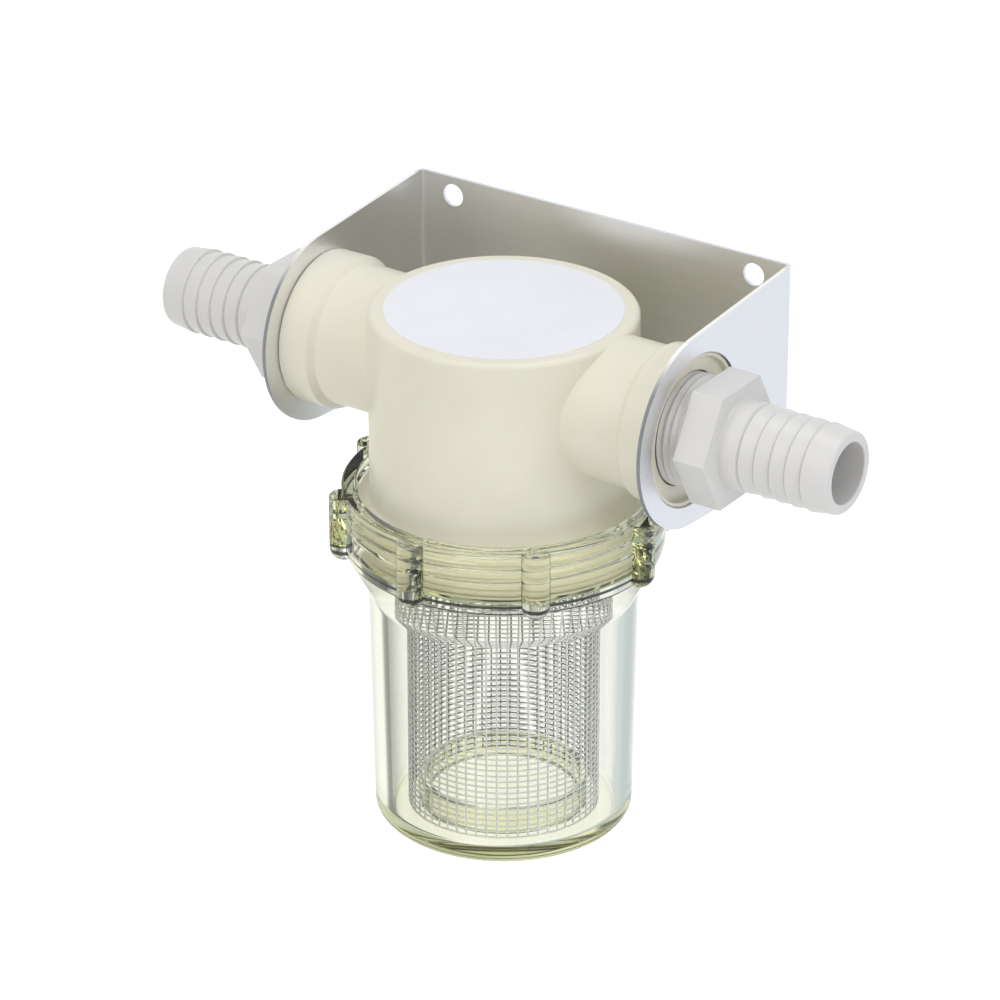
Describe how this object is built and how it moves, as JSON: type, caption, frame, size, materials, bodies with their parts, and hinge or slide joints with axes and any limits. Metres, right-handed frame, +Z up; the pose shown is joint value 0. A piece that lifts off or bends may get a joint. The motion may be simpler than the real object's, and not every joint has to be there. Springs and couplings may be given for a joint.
{
  "type": "fresh water strainer",
  "caption": "In-line strainer for fresh water: plastic head between hose fittings in a folded wall bracket, with a clear screw-on bowl over a woven screen.",
  "frame": {"origin": "middle of the four fixing holes on the bracket's rear face, level with the ports", "axes": "+X along the pipe towards the outlet, +Y into the wall, +Z up"},
  "size_m": [0.23, 0.1036, 0.173],
  "materials": {
    "bracket_steel": "satin stainless sheet",
    "head_plastic": "ivory moulded plastic, satin gloss",
    "label_film": "plain white film",
    "fitting_plastic": "white nylon, satin",
    "seal_rubber": "translucent white rubber",
    "screen_wire": "woven stainless wire",
    "bowl_plastic": "clear moulded plastic with a faint yellow-green tint"
  },
  "bodies": {
    "wall_bracket": {"bracket": "bracket_steel"},
    "strainer_head": {"head": "head_plastic", "label_disc": "label_film", "inlet_fitting": "fitting_plastic", "outlet_fitting": "fitting_plastic", "bowl_seal": "seal_rubber"},
    "screen_tube": {"screen": "screen_wire"},
    "bowl_cup": {"bowl": "bowl_plastic"}
  },
  "joints": [
    {"name": "head_swivel", "type": "hinge", "parent": "wall_bracket", "child": "strainer_head", "pos_m": [0, -0.052, 0], "axis": [-1, 0, 0], "range_deg": [0, 90]},
    {"name": "screen_drop", "type": "slide", "parent": "strainer_head", "child": "screen_tube", "axis": [0, 0, -1], "range_m": [0, 0.0081]},
    {"name": "bowl_turn", "type": "hinge", "parent": "screen_tube", "child": "bowl_cup", "pos_m": [0, -0.052, 0], "axis": [0, 0, -1], "range_deg": [0, 720]}
  ],
  "couplings": [
    {"joint": "screen_drop", "follows": "bowl_turn", "m_per_rad": 0.00063662}
  ]
}
